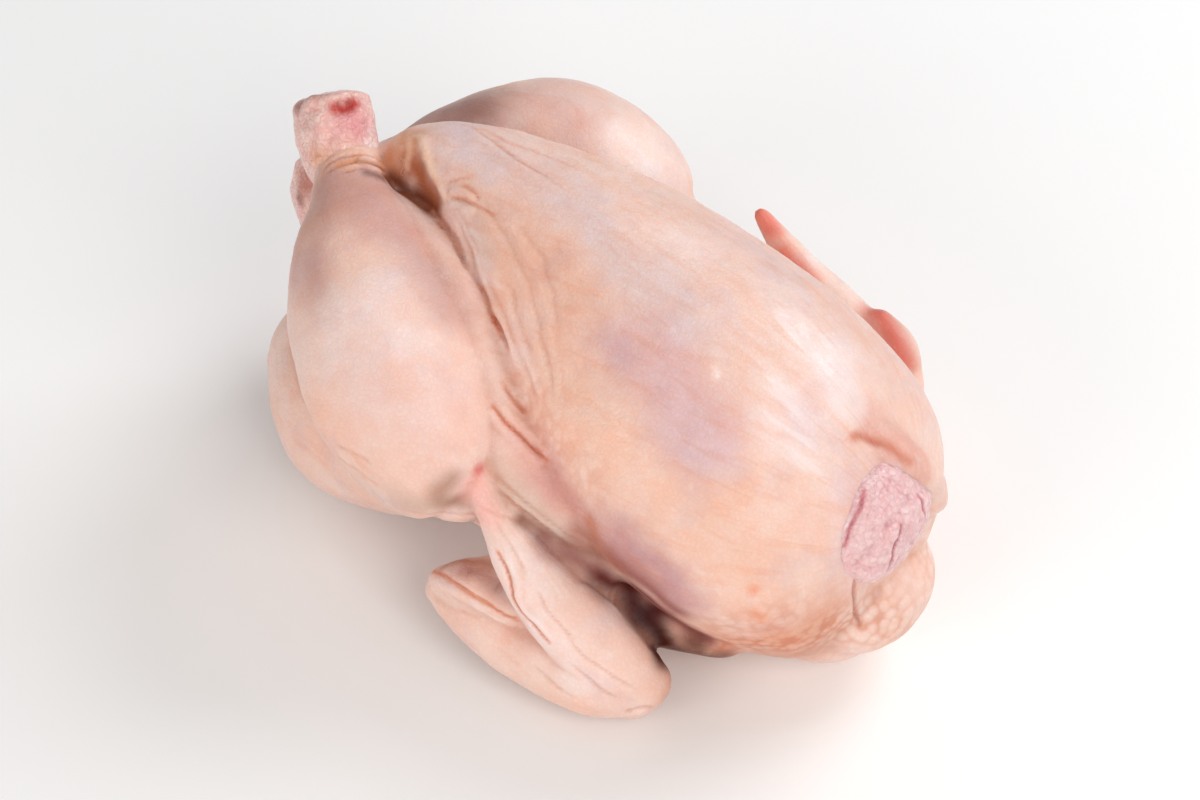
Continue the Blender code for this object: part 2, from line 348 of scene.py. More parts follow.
def nearPath(points, line, reach):  # points near a line, how far off it and how far along it they lie
    line = np.array(line, float)
    if len(line) == 1:
        line = np.vstack([line, line + 0.01])
    low = line.min(axis=0) - reach
    high = line.max(axis=0) + reach
    inside = np.nonzero(((points > low) & (points < high)).all(axis=1))[0]
    near = points[inside]
    gaps = np.full(len(inside), 1e9)
    shares = np.zeros(len(inside))
    lengths = np.linalg.norm(line[1:] - line[:-1], axis=1)
    passed = 0
    for start, end, length in zip(line, line[1:], lengths):
        way = (end - start) / max(length, 1e-6)
        along = np.clip((near - start) @ way, 0, length)
        gap = np.linalg.norm(near - start - np.outer(along, way), axis=1)
        take = gap < gaps
        gaps[take] = gap[take]
        shares[take] = (passed + along[take]) / lengths.sum()
        passed += length
    close = gaps < reach
    return inside[close], gaps[close], shares[close]


def surfaceTree(obj):
    return BVHTree.FromObject(obj, bpy.context.evaluated_depsgraph_get())


def onSurface(tree, path, wander=0.0):  # a smooth line on the skin through the path's points
    line = []
    for spot in smoothRows(path) if len(path) > 1 else path:
        spot = Vector(spot) + noise.noise_vector(Vector(spot) / 7) * wander
        line.append(tuple(tree.find_nearest(spot)[0]))
    return line


# Folds and creases: height in mm, below zero for a crease, half width and path

legHollow = [(-76, -13, 105), (-71, -13, 103), (-66, -13.3, 103), (-61, -13.7, 103.5), (-56, -14.5, 104)]
legCrease = [(-56, -14.5, 104), (-51, -16.3, 104.5), (-43, -20, 104), (-38, -23, 103.3), (-33.5, -25.3, 103)]
webCrease = [(-33.5, -25.3, 103), (-28, -27.4, 101.3), (-24, -30, 99.6), (-19.5, -32.4, 97), (-15, -35, 95.4)]
farCrease = [(-80, 15, 92), (-70, 20, 92), (-58, 25, 91), (-46, 31, 91), (-34, 38, 86), (-24, 45, 77)]
upperSlit = [(-20, -32, 97.3), (-17, -33.5, 96.3), (-14, -35.3, 95), (-10.7, -36.8, 93.6)]
middleSlit = [(-6.4, -44.6, 89), (-3.2, -45.2, 87), (0.2, -45.9, 85.4), (2.7, -46.4, 84.2)]
lowerSlit = [(-4, -51.5, 87.4), (0, -52.2, 84.2), (5, -52, 81.4), (9.6, -51.8, 79), (14.4, -51.7, 77)]
neckFold = [(84, -3, 89.8), (84.8, -1, 89.5), (87.5, 1.5, 87), (91, 4, 84.5), (95, 7, 79)]
neckCrease = [(99, -21, 58), (99, -20, 46), (99, -17, 33)]
ventSlit = [(-96, 0, 78), (-99, 0, 68), (-100, 0, 58), (-99, 0, 46)]
keelRidge = [
    (-72, 0, 113.5), (-69, -1.5, 114.5), (-65, -4.5, 113.5), (-60.7, -7.5, 112.2),
    (-54.4, -10.7, 110.7), (-51, -13, 109.3),
]
tipWrinkles = [
    [(-50, -12.4, 110.7), (-44.4, -12.2, 112.9), (-39, -12.6, 113.6), (-33.6, -13, 114.2)],
    [(-49, -9, 114.5), (-45, -9.4, 114.8), (-41, -11, 114.5)],
    [(-54, -9, 112.5), (-50, -7.5, 115), (-47, -6, 116.2)],
]
rimCrease = [
    (-12, -72, 28.5), (-8, -73, 31.4), (-2, -74.2, 33.1), (4, -74.6, 32.9), (11, -74, 32.3),
    (15, -73, 31), (19, -72, 30),
]
handCrease = [
    (12.4, -72, 55), (15, -72.6, 52.5), (17.4, -73.2, 49.7), (19.2, -74.3, 46), (20, -75, 43),
    (23.3, -75.5, 40.3), (27, -75.5, 39.5), (30, -76, 37), (33.5, -76, 34.8),
]
cuffStrands = [
    [(-89, -22.5, 107), (-86.7, -20.3, 109), (-84.2, -17.7, 109.7), (-82.4, -13.7, 109),
     (-80, -11, 107), (-78, -9.8, 105.7)],
    [(-84, -21.5, 109), (-82, -19.5, 110), (-80.7, -15.7, 109), (-78, -13.6, 107.3),
     (-76.3, -12.2, 105.3)],
    [(-91, -20.7, 106.8), (-88.7, -17.9, 109), (-86.8, -14.7, 109.5), (-84.5, -11.5, 108.5)],
]


def moved(path, x, y, z):
    return [(spot[0] + x, spot[1] + y, spot[2] + z) for spot in path]


flankFold = [(4, -62.3, 73.6), (12.5, -61.7, 68), (25, -59.5, 61.6), (35, -57, 57)]
webEdge = [(-74, -2, 112.8), (-71, -5, 112), (-69.5, -8, 108.5)]
skinFolds = [
    (-0.5, 1.2, legHollow),
    (-0.8, 0.8, legCrease),
    (-0.5, 0.7, webCrease),
    (-3, 2.4, farCrease),
    (-0.5, 1.3, neckFold),
    (-1.0, 0.7, neckCrease),
    (-9, 3.5, ventSlit),
    (-0.8, 0.7, upperSlit),
    (-0.5, 0.8, middleSlit),
    (-0.5, 0.6, lowerSlit),
    (0.7, 1.3, moved(lowerSlit, 0, -2.0, 0)),
    (0.5, 1.2, moved(lowerSlit, 1, 2.4, 0)),
    # two fine folds down the far side of the breast from the tip of the keel
    (-0.3, 0.7, [(-60.6, 10, 116), (-52, 8, 117.8), (-41.4, 6, 118.5), (-32, 5, 118.6), (-18, 4, 118)]),
    (-0.25, 0.7, [(-57.6, 11, 116.3), (-51, 10.4, 117.4), (-45, 10.4, 118), (-37.7, 12.4, 117.7),
                  (-24, 14, 117)]),
    (0.3, 0.9, [(-60, 8.4, 116.4), (-51, 6.4, 118), (-41, 4.4, 118.6), (-31, 3.4, 118.7)]),
    (0.7, 2.0, [(-62, 13, 113), (-46, 19, 115), (-29, 24, 115), (-7, 31, 112)]),
    # edge and wrinkles of the loose skin at the tip of the keel
    (1.0, 1.6, keelRidge),
    (0.5, 1.3, webEdge),
    (-0.45, 0.7, tipWrinkles[0]),
    (-0.35, 0.7, tipWrinkles[1]),
    (-0.3, 0.7, tipWrinkles[2]),
    (0.8, 1.2, [(-52, -11, 111.6), (-47, -10.6, 113.4), (-42, -11, 114.2)]),
    (0.6, 1.2, [(-51, -13.2, 109.8), (-45, -14, 111), (-40, -14, 112.4)]),
    (0.35, 0.9, [(-50, -14, 109.5), (-43, -17, 108.5), (-36, -21, 106), (-30, -25, 103.4)]),
    (0.35, 0.9, [(-45, -13.5, 111.5), (-37, -18.5, 108.7), (-31, -22.5, 105.8), (-26, -26, 103.5)]),
    # knee wrinkles
    (-0.4, 1.2, [(-38, -82, 74), (-31, -83, 77), (-22, -82, 77)]),
    (-0.4, 1.2, [(-40, -81, 68), (-30, -82, 70), (-20, -81, 69)]),
    (-0.4, 1.2, [(-16, -79, 63), (-8, -77, 60), (-2, -73, 58), (4, -68, 58)]),
    (-0.4, 1.0, flankFold),
    (-0.4, 0.9, [(6, -64, 70), (14, -62.8, 65), (25, -60.5, 59.5)]),
    (0.5, 1.0, [(5, -63, 72), (13, -62.2, 66.5), (25, -60, 60.5), (33, -57.5, 57)]),
    (-0.4, 0.9, [(2, -68, 66), (10, -65.5, 62), (18, -63, 59)]),
    # the wing: rim of the web, edge of the hand, and wrinkles over it
    (-0.4, 0.6, rimCrease),
    (-2.2, 4.5, [(-4.4, -69.5, 34.6), (1.5, -68, 37), (7.5, -69.5, 37.5), (13, -70, 37)]),
    (0.8, 1.4, moved(rimCrease, 0, -1, -2.2)),
    (-0.5, 0.7, handCrease),
    (0.6, 1.2, moved(handCrease, 2.4, -1, 1)),
    (0.8, 1.6, [(47, -58, 38.5), (41, -59.5, 42), (37, -61, 45.5), (34, -64, 48)]),
    (-0.4, 0.8, [(58, -67, 22), (50, -71, 28), (43, -73, 34), (36, -73, 40)]),
    (-0.4, 0.8, [(54, -71, 19), (47, -74, 24), (40, -76, 30)]),
    (-0.4, 0.8, [(44, -77, 18), (36, -79, 20), (28, -79, 24)]),
    (-0.4, 0.8, [(22, -71, 51), (16, -70, 57), (9, -69, 64)]),
    (-0.4, 0.8, [(40, -70, 36), (33, -72, 42), (26, -72, 48)]),
    (-0.9, 1.4, [(62, -64, 12), (60, -68, 16), (56, -71, 13)]),
    # the hollow behind the wing
    (-2.0, 5.0, [(40, -56, 43), (47, -52, 38), (53, -52, 32), (57, -51, 27)]),
]

stretching = {
    "folds": 9,
    "height": 0.30,
    "width": 1.0,
    "start": (-50, -15, 111),
    "end": (16, -50, 80),
    "fan": (14, 15, 4),  # how far the last fold lies from the crease, at its middle
    "bow": (0.2, 0.65),  # the stretch of a half wave that the fan follows
    "starts": (0.0, 0.09, 6),  # the first fold's, the step to the next one's, and how many steps
    "ends": (0.66, 0.08, 4),
}


def stretchedSkin(setup):  # folds that run along the leg's crease and fan out over the breast
    start, end, fan = (Vector(setup[key]) for key in ("start", "end", "fan"))
    bowStart, bowSpan = setup["bow"]
    made = []
    for k in range(setup["folds"]):
        share = k / (setup["folds"] - 1)
        first, last = (base + step * (k % steps) for base, step, steps in (setup["starts"], setup["ends"]))
        path = []
        for t in (first + (last - first) * step / 4 for step in range(5)):
            bow = math.sin(math.pi * (bowStart + bowSpan * t))
            path.append(tuple(start.lerp(end, t) + fan * share * bow))
        made.append((setup["height"] * (1 if k % 2 else -1), setup["width"], path))
    return made


cuff = {
    "heights": (0.9, 0.6, 0.5),
    "width": 0.8,
    "groove": (-0.4, 0.7),  # height and half width
    "grooveAside": (1.4, -1.4, -1.2),
}


def cuffFolds(setup):  # strands of skin drawn tight round the ankle
    made = []
    for height, path in zip(setup["heights"], cuffStrands):
        made.append((height, setup["width"], path))
        made.append((*setup["groove"], moved(path, *setup["grooveAside"])))
    return made


pressing = {"reach": 3, "fade": 6, "fadePower": 0.7, "wander": 0.8}


def pressFolds(obj, points, normals, folds):
    tree = surfaceTree(obj)
    for height, width, path in folds:
        line = onSurface(tree, path, pressing["wander"])
        index, gaps, shares = nearPath(points, line, pressing["reach"] * width)
        fade = np.clip(pressing["fade"] * np.minimum(shares, 1 - shares), 0, 1) ** pressing["fadePower"]
        points[index] += normals[index] * (height * fade * np.exp(-((gaps / width) ** 2)))[:, None]


# Limbs that streaks of the skin run along: start and end of the axis, and radius

limbAxes = [
    ((-90, 0, 60), (100, 0, 60), 56),
    ((-14, -58, 60), (-90, -14, 94), 26),
    ((-30, 54, 56), (-94, 6, 78), 26),
    ((54, -62, 14), (-1, -70, 28), 11),
    ((54, -62, 16), (-1, -65, 74), 9),
    ((58, 60, 14), (3, 66, 28), 11),
    ((58, 60, 16), (4, 63, 76), 9),
]
limbSeams = {"apart": 40.0, "fadeStart": 0.12, "fade": 0.15}


def limbCoordinates(points):  # places along and round the nearest limb, and how clear of the others
    best = np.full(len(points), 1e9)
    second = best.copy()
    found = np.zeros((len(points), 3))
    for number, (start, end, radius) in enumerate(limbAxes):
        start, end = np.array(start, float), np.array(end, float)
        way = (end - start) / np.linalg.norm(end - start)
        side = np.cross(way, (0, 0, 1.0))
        side /= np.linalg.norm(side)
        up = np.cross(side, way)
        away = points - start
        along = away @ way
        over = np.maximum(np.maximum(-along, along - np.linalg.norm(end - start)), 0)
        out = away - np.outer(along, way)
        ratio = np.hypot(np.linalg.norm(out, axis=1), over) / radius
        angle = np.arctan2(out @ side, out @ up)
        take = ratio < best
        second = np.where(take, best, np.minimum(second, ratio))
        best[take] = ratio[take]
        found[take, 0] = along[take]
        found[take, 1] = angle[take] * radius
        found[take, 2] = number * limbSeams["apart"]
        wrapped = np.pi - np.abs(angle)
        second[take] = np.minimum(second[take], best[take] + wrapped[take])
    return found, np.clip((second - best - limbSeams["fadeStart"]) / limbSeams["fade"], 0, 1)


# Where the follicles stand up as goose bumps: path, reach and strength

roughPatches = [
    ([(99, -30, 40), (95, -38, 36), (84, -47, 36), (74, -50, 28)], 17, 1.0),
    ([(101, -8, 30), (100, -14, 34), (98, -24, 36)], 16, 0.9),
    ([(88, -42, 54), (76, -50, 50)], 16, 0.45),
    ([(98, 10, 32), (92, 30, 42), (76, 46, 42)], 20, 0.5),
    ([(2, -42, 88), (16, -48, 82), (30, -50, 80)], 13, 0.35),
    ([(-60, -62, 54), (-44, -74, 58), (-26, -78, 58)], 16, 0.3),
    ([(-90, 0, 20), (-60, 0, 3), (-20, 0, 0), (40, 0, 0)], 40, 0.5),
    ([(-100, 0, 28), (-114, 0, 36)], 16, 0.5),
]


def patchStrength(points, patches):
    made = np.zeros(len(points))
    for path, reach, strength in patches:
        index, gaps, shares = nearPath(points, path, reach)
        made[index] = np.maximum(made[index], strength * smoothFall(gaps / reach))
    return made


def smoothFall(share):  # 1 at the middle and 0 at the edge
    share = np.clip(1 - share, 0, 1)
    return share * share * (3 - 2 * share)


unevenness = [(26.0, 0.9), (9.0, 0.28), (3.2, 0.08)]  # wavelength and height


def addUnevenness(points, normals, waves):
    for wave, height in waves:
        rise = np.array([noise.noise(Vector(p / wave)) for p in points])
        points += normals * (rise * height)[:, None]


def thinOut(obj, triangles):
    faces = sum(len(face.vertices) - 2 for face in obj.data.polygons)
    if faces > triangles:
        thin = obj.modifiers.new("thin", "DECIMATE")
        thin.ratio = triangles / faces
        applyModifiers(obj)


# Colours are written as they look on a screen, from 0 to 255.


def tone(*colour):
    share = np.array(colour) / 255
    return np.where(share < 0.04, share / 12.92, ((share + 0.055) / 1.055) ** 2.4)


def hollowness(obj, rounds):  # above 0 in creases and below 0 on ridges, in metres
    points = readPoints(obj)
    soft = obj.modifiers.new("soft", "SMOOTH")
    soft.factor = 0.5
    soft.iterations = rounds
    made = obj.evaluated_get(bpy.context.evaluated_depsgraph_get()).to_mesh()
    smooth = np.empty(len(points) * 3)
    made.vertices.foreach_get("co", smooth)
    obj.modifiers.clear()
    return ((smooth.reshape(-1, 3) - points) * readNormals(obj)).sum(axis=1)


def noiseVectors(points, wave):
    return np.array([noise.noise_vector(Vector(p / wave)) for p in points])


tinting = {
    "ragged": [(17, 5), (5, 2)],  # wavelength and height of the broad tints' wandering edges
    "broad": 9,  # reach above which a tint has them, and below which it keeps to the surface
}


def paintTints(obj, points, base, tints):  # points are the object's own, in mm
    tree = surfaceTree(obj)
    colours = np.tile(tone(*base), (len(points), 1))
    ragged = points
    for wave, height in tinting["ragged"]:
        ragged = ragged + height * noiseVectors(points, wave)
    for colour, strength, reach, path in tints:
        line = [tuple(Vector(spot) * mm) for spot in path]
        if reach < tinting["broad"]:
            line = onSurface(tree, line)
        places = ragged if reach > tinting["broad"] else points
        index, gaps, shares = nearPath(places, np.array(line) / mm, reach)
        share = (strength * smoothFall(gaps / reach))[:, None]
        colours[index] = colours[index] * (1 - share) + tone(*colour) * share
    return colours


def shade(colours, colour, share):
    share = np.clip(share, 0, 1)[:, None]
    return colours * (1 - share + tone(*colour) * share)


def paintCreaseShadeAndRidgeLight(obj, colours, look):  # paints shade in creases and a highlight on ridges
    fine = hollowness(obj, look["fineRounds"]) / mm / look["fineDepth"]
    broad = hollowness(obj, look["broadRounds"]) / mm / look["broadDepth"]
    share = look["broadShare"] * np.clip(broad, 0, 1) + look["fineShare"] * np.clip(fine, 0, 1)
    colours = shade(colours, look["creaseShade"], share)
    return shade(colours, look["ridgeLight"], look["ridgeLightShare"] * np.clip(-fine, 0, 1))


attributeKinds = {1: ("FLOAT", "value"), 3: ("FLOAT_VECTOR", "vector"), 4: ("FLOAT_COLOR", "color")}


def store(obj, name, values):  # one, three or four numbers for each point
    kind, field = attributeKinds[values.size // len(values)]
    obj.data.attributes.new(name, kind, "POINT").data.foreach_set(field, values.ravel())


def storeTint(obj, colours):
    store(obj, "tint", np.hstack([colours, np.ones((len(colours), 1))]))


# Tints of the skin, painted shade and highlights among them, each laid over those before it: colour,
# strength, reach in mm and path

skinTints = [
    # breast
    ((242, 202, 184), 0.9, 34, [(-28, -18, 109), (14, -28, 106), (28, -45, 90), (60, -45, 83),
                                (77, -47, 72)]),
    ((246, 206, 186), 0.7, 22, [(-18, -20, 110), (4, -28, 106), (28, -45, 90)]),
    ((226, 202, 200), 0.9, 15, [(-62, 4, 117), (-32, 2, 117), (5, -4, 116), (36, -12, 109)]),
    ((224, 188, 190), 0.9, 20, [(24, -26, 108), (42, -29, 104), (54, -34, 99)]),
    ((246, 220, 212), 0.7, 14, [(0, 12, 116), (32, 12, 110), (50, 22, 104)]),
    ((240, 196, 178), 0.85, 14, [(-12, -20, 112), (4, -22, 111), (8, -32, 106)]),
    ((250, 208, 190), 0.6, 12, [(16, -48, 84), (32, -46, 91), (46, -48, 88)]),
    ((234, 192, 174), 0.7, 14, [(-40, -10, 114), (-20, -14, 113), (6, -22, 109)]),
    # a pale painted highlight across the breast's shoulder, where the wet skin shines
    ((244, 222, 218), 0.9, 15, [(70, -19, 97), (72, -4, 99), (67, 14, 99)]),
    ((232, 198, 188), 0.7, 22, [(20, 30, 108), (50, 34, 100), (75, 30, 86)]),
    ((222, 152, 120), 0.85, 24, [(95, -34, 44), (84, -48, 42), (70, -54, 34)]),
    ((200, 138, 112), 0.8, 18, [(92, -32, 24), (76, -48, 20), (62, -50, 14)]),
    # a pale painted highlight down the near side of the breast
    ((240, 214, 206), 0.6, 9, [(62, -52, 70), (72, -50, 58), (80, -48, 48)]),
    # tiny painted glints on the breast
    ((252, 242, 238), 0.7, 1.7, [(47, -18, 106), (49, -20, 105.3)]),
    ((252, 242, 238), 0.7, 1.5, [(53, -19, 104.3)]),
    ((236, 148, 108), 0.7, 3.0, [(79, -43, 64)]),
    ((236, 158, 120), 0.6, 2.6, [(82, -46, 58), (84, -45, 55)]),
    # flank: bruised mauve, with painted shade deepening it towards the dark hollow behind the wing
    ((232, 184, 174), 0.85, 10, [(4, -51, 79), (14, -53, 75), (24, -54, 71)]),
    # a painted highlight along the flank fold, and a painted shadow under it
    ((216, 190, 178), 0.9, 9, [(4, -62, 73.6), (12.5, -61.7, 68), (25, -59.5, 61.6), (35, -57, 57)]),
    ((146, 100, 80), 0.85, 4.5, [(14, -63, 62), (22, -61, 58.5), (30, -58.5, 57), (36, -57, 56)]),
    ((214, 164, 158), 0.9, 12, [(18, -54, 75), (30, -56, 71), (38, -57, 66)]),
    ((200, 150, 150), 0.9, 11, [(43, -57, 68), (54, -57.3, 66), (64, -56.6, 63), (71, -55.6, 58)]),
    ((156, 92, 92), 0.95, 8.5, [(42, -57.3, 59), (49, -57.8, 58.5), (56, -58.3, 57), (63, -57, 51)]),
    ((196, 120, 90), 0.85, 4.5, [(33, -56.5, 68), (35, -56.8, 64)]),
    # painted shade: wine, maroon and near-black red darkening into the hollow behind the wing and its pit
    ((126, 50, 56), 0.95, 8, [(48, -57, 48), (57, -54, 44), (62, -51, 38), (67, -49, 33)]),
    ((152, 96, 88), 0.92, 7, [(20, -63, 55), (28, -61, 54), (36, -58, 51)]),
    ((92, 14, 10), 0.97, 8, [(38, -57, 48), (43, -53, 42), (48, -53, 36), (54, -52, 38)]),
    ((66, 4, 0), 0.98, 8, [(50, -53, 35), (54, -53, 31), (57, -54, 27)]),
    ((84, 26, 6), 0.9, 6, [(56.5, -56, 25), (58, -52, 24), (61, -49, 24)]),
    ((104, 58, 38), 0.9, 8, [(64, -49, 30), (66, -47, 21), (72, -46, 22)]),
    ((176, 114, 98), 0.85, 7, [(30, -58, 62), (38, -57.3, 60), (44, -57.3, 56)]),
    # near leg
    # a painted highlight on the top of the knee
    ((244, 222, 218), 0.85, 22, [(-44, -58, 106), (-36, -62, 103)]),
    ((240, 204, 196), 0.7, 22, [(-30, -72, 94), (-14, -66, 88)]),
    # mauve-grey skin over the drumstick's end, darkened with painted shade on the side turned from the light
    ((204, 164, 158), 0.75, 16, [(-56, -30, 110), (-42, -36, 108), (-28, -42, 102)]),
    ((202, 150, 140), 0.7, 14, [(-76, -50, 98), (-66, -54, 104)]),
    ((186, 126, 106), 0.75, 20, [(-86, -30, 100), (-80, -30, 108), (-74, -40, 106)]),
    ((210, 160, 150), 0.85, 17, [(-76, -24, 109), (-68, -28, 111), (-60, -30, 110)]),
    ((246, 202, 184), 0.85, 24, [(-62, -62, 48), (-50, -78, 64), (-42, -80, 78)]),
    ((222, 192, 182), 0.8, 14, [(-40, -76, 50), (-18, -80, 62)]),
    ((208, 180, 166), 0.85, 9, [(-12, -79, 66), (-3, -74, 68), (0, -70, 66), (4, -66, 66)]),
    ((176, 130, 110), 0.75, 6.0, [(-2, -73, 76.5), (-4.7, -75.8, 73), (-4, -75.5, 68), (-1, -71, 66)]),
    ((238, 160, 124), 0.6, 2.4, [(-66, -60, 64), (-62, -66, 66), (-58, -70, 66)]),
    # far leg
    # mauve-grey skin on the far drumstick's end, darkened with painted shade on the side turned from the
    # light
    ((146, 102, 94), 0.9, 20, [(-86, 22, 90), (-78, 34, 96)]),
    ((220, 182, 176), 0.7, 18, [(-62, 44, 98), (-50, 48, 96)]),
    # a painted highlight on the far drumstick's lit end
    ((248, 234, 230), 0.9, 18, [(-34, 54, 90), (-26, 54, 82)]),
    # near wing
    ((250, 226, 220), 0.9, 15, [(44, -72, 28), (30, -76, 40), (16, -73, 52)]),
    ((248, 196, 188), 0.9, 8, [(6, -69, 64), (0, -67, 72)]),
    ((224, 108, 112), 0.8, 3.5, [(-1, -65, 76)]),
    ((244, 210, 196), 0.9, 13, [(-8, -76, 20), (4, -79, 20), (20, -80, 16), (38, -78, 12)]),
    ((238, 200, 188), 0.7, 12, [(54, -70, 16)]),
    # painted shade in the pocket of the wing's web and along its edge
    ((208, 168, 160), 0.95, 6, [(-4, -70, 34.6), (1.5, -68, 37), (7.5, -70, 37.4), (14, -71, 36)]),
    ((186, 134, 112), 0.8, 3, [(-10, -70.5, 32), (-5, -67, 35), (1, -65.5, 37), (7, -66, 39)]),
    # far wing
    ((248, 226, 218), 0.9, 14, [(42, 70, 52), (22, 68, 64)]),
    ((232, 128, 112), 0.9, 8, [(10, 63, 76), (5, 63, 80)]),
    ((226, 120, 104), 0.8, 5, [(16, 61, 70), (26, 62, 63)]),
    ((214, 102, 84), 0.9, 8, [(46, 68, 58), (53, 65, 56), (60, 62, 50)]),
    # neck end
    ((240, 212, 208), 0.8, 7, [(88, -12, 84), (90, -18, 80), (94, -23, 70), (98, -22, 56)]),
    ((226, 168, 154), 0.8, 10, [(84, 6, 88), (90, 7, 85), (96, 9, 79)]),
    # painted shade in the fold under the neck lobe and in the crease beside the neck flesh
    ((216, 140, 116), 0.85, 3.0, neckFold),
    ((206, 146, 128), 0.8, 1.3, neckCrease),
    # tip of the keel
    ((214, 150, 112), 0.95, 10, [(-80, -1.5, 109), (-77, -6, 108), (-72, -3, 112)]),
    ((206, 136, 96), 0.9, 6, [(-77, -7.3, 107.4), (-72.3, -8.7, 106.5)]),
    ((168, 92, 52), 0.97, 7.5, [(-69, -7.5, 109.5), (-65, -8, 109.8), (-61, -10.5, 107.5),
                                (-56, -12.3, 107)]),
    # painted shade in the crease under the tip of the keel
    ((124, 58, 28), 0.95, 4.5, [(-74, -11, 104), (-67, -12, 103.5), (-61, -12.6, 104.3), (-55, -14, 105)]),
    ((240, 206, 182), 0.9, 2.0, keelRidge),
    ((236, 190, 160), 0.7, 2.0, webEdge),
    ((226, 196, 184), 0.85, 7, [(-46, -14, 111), (-37, -18, 109), (-30, -22, 106)]),
    ((234, 168, 136), 0.5, 1.3, tipWrinkles[0]),
    ((234, 172, 142), 0.4, 1.3, tipWrinkles[1]),
    ((238, 182, 156), 0.4, 1.3, tipWrinkles[2]),
    ((234, 178, 152), 0.4, 1.2, [(-60.6, 10, 116), (-52, 8, 117.8), (-41.4, 6, 118.5), (-32, 5, 118.6)]),
    ((234, 178, 152), 0.35, 1.2, [(-57.6, 11, 116.3), (-51, 10.4, 117.4), (-45, 10.4, 118),
                                  (-37.7, 12.4, 117.7)]),
    # tail and vent
    ((238, 196, 168), 0.7, 22, [(-96, 0, 28), (-112, 0, 36)]),
    # darker red inside the vent slit: painted shade
    ((150, 70, 60), 0.9, 8, ventSlit),
    # creases; those along the legs are darkened with painted shade
    ((150, 84, 50), 0.9, 1.8, legHollow),
    ((190, 130, 100), 0.7, 1.2, legCrease),
    ((222, 172, 150), 0.5, 1.2, webCrease),
    ((170, 108, 90), 0.85, 3.5, farCrease),
    ((212, 120, 78), 0.9, 1.2, upperSlit),
    ((230, 164, 136), 0.6, 1.5, middleSlit),
    ((224, 138, 100), 0.9, 1.1, lowerSlit),
    ((222, 138, 98), 0.9, 1.2, rimCrease),
    ((228, 138, 98), 0.9, 1.2, handCrease),
    # painted shade in the hollow beside the cuff and under its strands
    ((150, 88, 58), 0.95, 2.2, [(-82, -16.5, 108.6), (-79, -13.8, 107.6), (-77, -12, 105.5)]),
    ((124, 88, 84), 0.8, 3.4, [(-77, -18, 109.2), (-74, -15.4, 106.6)]),
    ((226, 162, 120), 0.9, 1.5, cuffStrands[0]),
    ((232, 176, 138), 0.8, 1.4, cuffStrands[1]),
    ((238, 192, 162), 0.75, 1.6, cuffStrands[2]),
]

# Where fluid lies on the skin, glossier there and with a painted reflection: path, reach and strength
wetGlossAndReflectionPatches = [
    ([(62, -12, 102.5), (71.5, -17, 98), (81, -21.5, 89)], 10, 1.0),
    ([(55, 9, 105.5), (64, 9, 102), (71, 8.5, 98.6), (77, 4, 94)], 13, 1.0),
    ([(44, -14, 108), (54, -19, 104)], 7, 0.5),
    ([(-44, -56, 107), (-34, -62, 102)], 18, 0.5),
    ([(-50, -14, 110), (-20, -30, 102), (0, -42, 90)], 12, 0.6),
    ([(-76, -2, 112), (-70, -8, 106)], 10, 0.5),
    ([(-34, 54, 90), (-26, 54, 82)], 16, 0.4),
]
skinLook = {
    "base": (240, 208, 196),
    # these multiply the tint: painted shade in creases and a painted highlight on ridges
    "creaseShade": (218, 180, 164),
    "ridgeLight": (258, 264, 268),
    "fineRounds": 6,
    "fineDepth": 0.2,
    "fineShare": 0.6,
    "broadRounds": 60,
    "broadDepth": 1.5,
    "broadShare": 0.5,
    "ridgeLightShare": 0.8,
}


def makeBirdSkin():
    bird = formsMesh("birdSkin", buildSkin)
    fuse(bird, meshing["voxel"], meshing["softening"])
    print("bird skin fused,", len(bird.data.vertices), "vertices")
    points = readPoints(bird)
    normals = readNormals(bird)
    pressFolds(bird, points, normals, skinFolds + stretchedSkin(stretching) + cuffFolds(cuff))
    addUnevenness(points, normals, unevenness)
    points[:, 2] = np.maximum(points[:, 2], 0)
    writePoints(bird, points)
    print("bird skin creased")
    thinOut(bird, meshing["triangles"])
    points = readPoints(bird)
    writePoints(bird, points * mm)
    bird.data.shade_smooth()
    colours = paintTints(bird, points, skinLook["base"], skinTints)
    storeTint(bird, paintCreaseShadeAndRidgeLight(bird, colours, skinLook))
    places, clear = limbCoordinates(points)
    store(bird, "wet", patchStrength(points, wetGlossAndReflectionPatches))
    store(bird, "rough", patchStrength(points, roughPatches))
    store(bird, "clear", clear)
    store(bird, "limb", places * mm)
    writePlace(bird, points)
    bird.data.materials.clear()
    return bird


# Flesh and joint ends, which stand out of the skin

